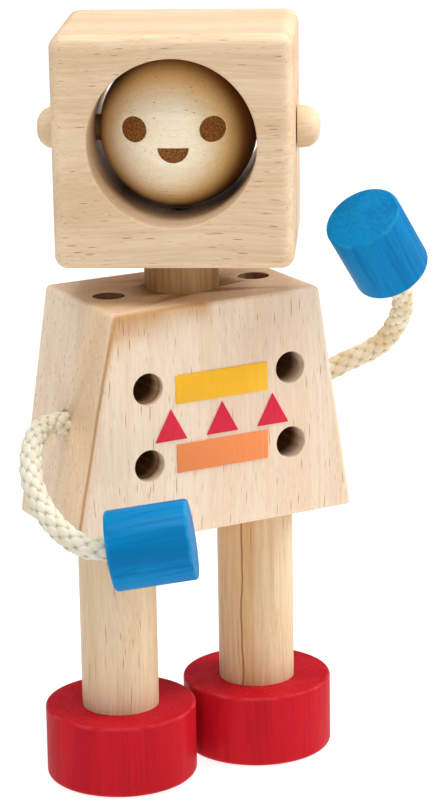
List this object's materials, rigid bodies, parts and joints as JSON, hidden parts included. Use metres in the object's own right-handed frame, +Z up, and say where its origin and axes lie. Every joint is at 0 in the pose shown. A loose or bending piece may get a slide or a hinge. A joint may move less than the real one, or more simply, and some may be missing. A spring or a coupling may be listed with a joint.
{
  "type": "toy robot",
  "caption": "Wooden toy robot: trapezoid torso with peg holes and painted tiles, dowel legs on round feet, turning cube head with a spinning ball face, bendable rope arms with round hands.",
  "frame": {"origin": "on the floor, midway between the feet and under the middle of the neck", "axes": "+Z up; the robot looks along -Y, so its own left is +X and its own right is -X"},
  "size_m": [0.1393, 0.1193, 0.2391],
  "materials": {
    "block_wood": "bare wood, fine straight grain",
    "head_wood": "bare wood with short dark pores",
    "dowel_wood": "bare turned wood, grain along the dowel",
    "ball_wood": "turned ball, lightly polished, burnt eyes and mouth",
    "red_paint": "wood stained red, satin",
    "blue_paint": "wood stained blue, satin",
    "yellow_paint": "thin tile painted yellow",
    "orange_paint": "thin tile painted orange",
    "crimson_paint": "thin tile painted crimson",
    "rope": "braided cotton rope, cream",
    "screw_steel": "zinc plated"
  },
  "bodies": {
    "torso": {"torso_block": "block_wood", "yellow_bar": "yellow_paint", "orange_bar": "orange_paint", "left_triangle": "crimson_paint", "middle_triangle": "crimson_paint", "right_triangle": "crimson_paint", "left_leg": "dowel_wood", "right_leg": "dowel_wood", "left_foot": "red_paint", "right_foot": "red_paint", "neck_peg": "dowel_wood", "neck_screw": "screw_steel", "left_arm_rope": "rope", "right_arm_rope": "rope"},
    "head": {"head_block": "head_wood"},
    "face": {"face_ball": "ball_wood", "face_axle": "dowel_wood", "left_ear_knob": "head_wood", "right_ear_knob": "head_wood"},
    "left_arm": {"left_hand": "blue_paint"},
    "right_arm": {"right_hand": "blue_paint"}
  },
  "joints": [
    {"name": "head_turn", "type": "hinge", "parent": "torso", "child": "head", "pos_m": [0, 0, 0.17], "axis": [0, 0, 1], "continuous": true},
    {"name": "face_spin", "type": "hinge", "parent": "head", "child": "face", "pos_m": [0, 0, 0.2067], "axis": [0.848, -0.5299, 0], "continuous": true},
    {"name": "left_arm_wave", "type": "hinge", "parent": "torso", "child": "left_arm", "pos_m": [0.067, -0.0155, 0.136], "axis": [0, 1, 0], "range_deg": [0, 35], "deforming": ["left_arm_rope"]},
    {"name": "right_arm_lift", "type": "hinge", "parent": "torso", "child": "right_arm", "pos_m": [-0.0648, -0.0299, 0.105], "axis": [1, 0, 0], "range_deg": [-40, 30], "deforming": ["right_arm_rope"]}
  ]
}
